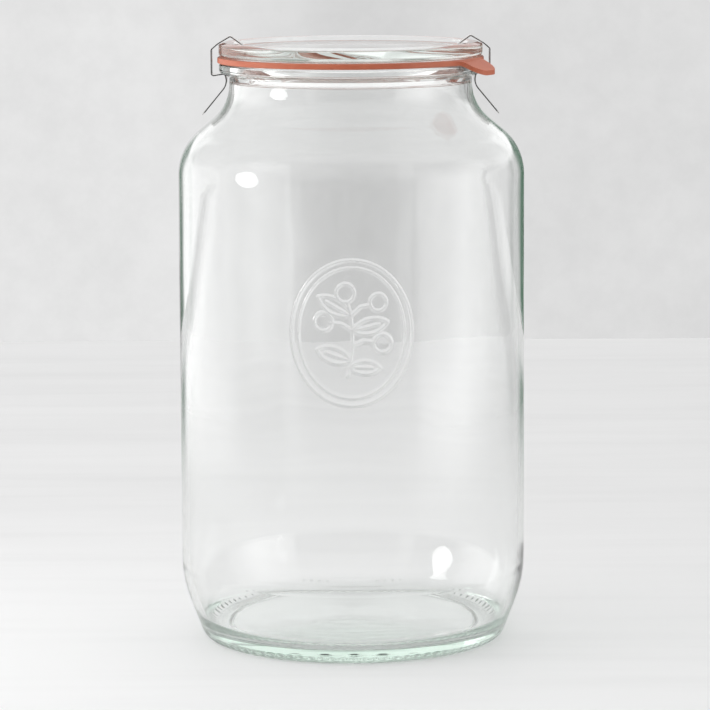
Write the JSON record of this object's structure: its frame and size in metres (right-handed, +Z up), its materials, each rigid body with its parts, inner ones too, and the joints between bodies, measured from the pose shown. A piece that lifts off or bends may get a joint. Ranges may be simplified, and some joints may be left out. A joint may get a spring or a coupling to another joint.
{
  "type": "glass canning jar",
  "caption": "Tall round glass canning jar with a sloping shoulder, a flat glass lid, an orange rubber sealing ring with a pull tab, and bent steel spring clips.",
  "frame": {"origin": "centre of the ring that the jar stands on, on the ground plane", "axes": "+Z up along the jar's axis; the clips are at +X and -X; the front with the raised medallion faces -Y"},
  "size_m": [0.1432, 0.1432, 0.2506],
  "materials": {
    "clear_glass": "clear, faintly green in the thick parts",
    "lid_glass": "clear, pressed, faintly green in the thick parts",
    "seal_rubber": "matte natural rubber, orange",
    "spring_steel": "bright rolled strip"
  },
  "bodies": {
    "root": {"jar": "clear_glass", "lid": "lid_glass", "ring": "seal_rubber", "clip_right": "spring_steel", "clip_left": "spring_steel"}
  },
  "joints": []
}
